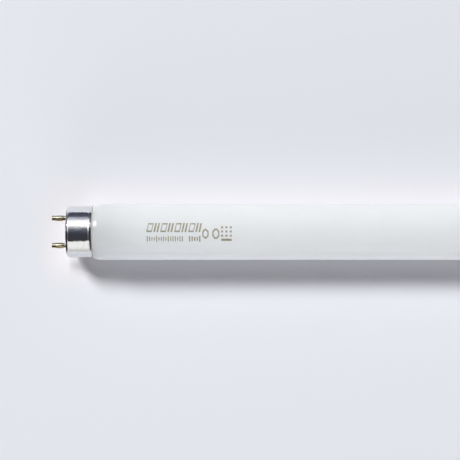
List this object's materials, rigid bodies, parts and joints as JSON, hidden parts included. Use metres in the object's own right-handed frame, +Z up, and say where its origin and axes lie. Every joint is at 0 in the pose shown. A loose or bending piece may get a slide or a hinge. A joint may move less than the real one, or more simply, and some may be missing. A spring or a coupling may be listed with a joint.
{
  "type": "fluorescent tube",
  "caption": "Straight fluorescent lamp tube: sealed, white-coated glass with a bi-pin aluminium cap at each end.",
  "frame": {"origin": "middle of the tube's length, on its axis", "axes": "+X along the tube, away from the end that the picture shows, +Y from the front pins to the rear pins, +Z up"},
  "size_m": [1.5142, 0.026, 0.026],
  "materials": {
    "coated_glass": "clear glossy glass over a white powder coating",
    "cap_aluminium": "bright drawn sheet",
    "phenolic": "pressed laminate",
    "pin_brass": "bright drawn tube",
    "cement": "baked cement",
    "lead_wire": "plain drawn wire"
  },
  "bodies": {
    "root": {"glass_tube": "coated_glass", "cap_shell_left": "cap_aluminium", "cap_shell_right": "cap_aluminium", "insulating_disc_left": "phenolic", "insulating_disc_right": "phenolic", "contact_pin_left_front": "pin_brass", "contact_pin_left_rear": "pin_brass", "contact_pin_right_front": "pin_brass", "contact_pin_right_rear": "pin_brass", "cement_ring_left": "cement", "cement_ring_right": "cement", "lead_wire_left_front": "lead_wire", "lead_wire_left_rear": "lead_wire", "lead_wire_right_front": "lead_wire", "lead_wire_right_rear": "lead_wire"}
  },
  "joints": []
}
